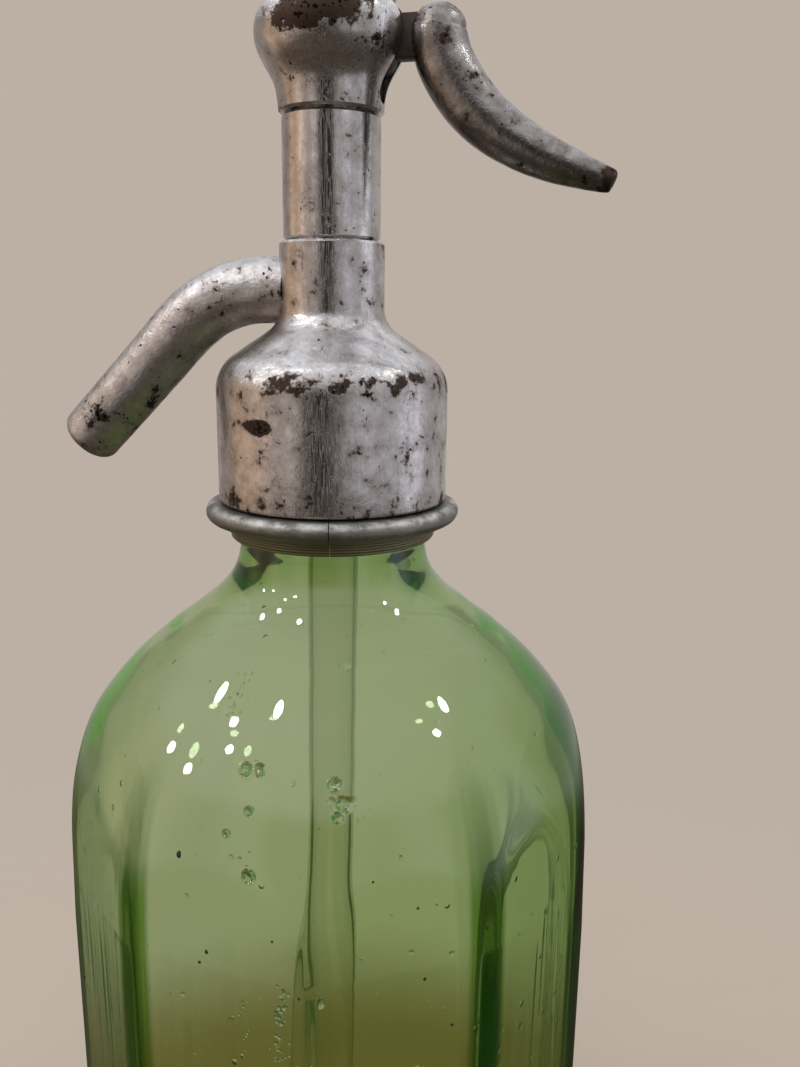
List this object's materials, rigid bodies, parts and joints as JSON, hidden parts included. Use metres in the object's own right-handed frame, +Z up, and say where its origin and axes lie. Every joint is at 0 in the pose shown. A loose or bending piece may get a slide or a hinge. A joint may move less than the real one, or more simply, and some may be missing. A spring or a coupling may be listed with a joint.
{
  "type": "soda siphon",
  "caption": "Pressed green glass bottle with a plated lever head: pressing the horn lever lifts a sprung valve rod and lets water out of the bent spout.",
  "frame": {"origin": "centre of the bottle's flat base, on the bottle's axis", "axes": "+Z up along the bottle's axis, +X towards the lever, -X towards the spout"},
  "size_m": [0.1059, 0.1014, 0.3029],
  "materials": {
    "green_glass": "pressed green glass, clear and glossy",
    "clear_glass": "drawn glass tube, faintly green",
    "nickel": "worn nickel plate, scratched and tarnished",
    "pewter": "dull grey cast tin alloy with rubbed edges",
    "steel": "dark tarnished steel",
    "brass": "turned brass",
    "rubber": "matt black rubber",
    "fibre": "red-brown fibre"
  },
  "bodies": {
    "root": {"bottle": "green_glass", "mouth_washer": "rubber", "dip_tube": "clear_glass", "tube_gasket": "rubber", "collar_half_front": "pewter", "collar_half_back": "pewter", "head_body": "nickel", "spout": "nickel", "valve_seat": "brass", "valve_barrel": "nickel", "gland_packing": "rubber", "gland_nut": "brass", "lever_housing": "nickel", "lever_pin": "steel", "cap_washer": "fibre", "top_cap": "nickel", "valve_spring": "steel"},
    "lever": {"lever_arm": "steel", "lever_handle": "nickel"},
    "valve": {"valve_disc": "rubber", "disc_holder": "brass", "disc_screw": "brass", "valve_rod": "brass", "rod_yoke": "brass", "spring_collar": "brass"}
  },
  "joints": [
    {"name": "lever_pivot", "type": "hinge", "parent": "root", "child": "lever", "pos_m": [0.0084, 0, 0.2859], "axis": [0, 1, 0], "range_deg": [0, 16], "stiffness_Nm_per_rad": 0.5, "springref_deg": -28.65},
    {"name": "valve_lift", "type": "slide", "parent": "root", "child": "valve", "axis": [0, 0, 1], "range_m": [0, 0.0024], "deforming": ["valve_spring"]}
  ],
  "couplings": [
    {"joint": "valve_lift", "follows": "lever_pivot", "m_per_rad": 0.0084}
  ]
}
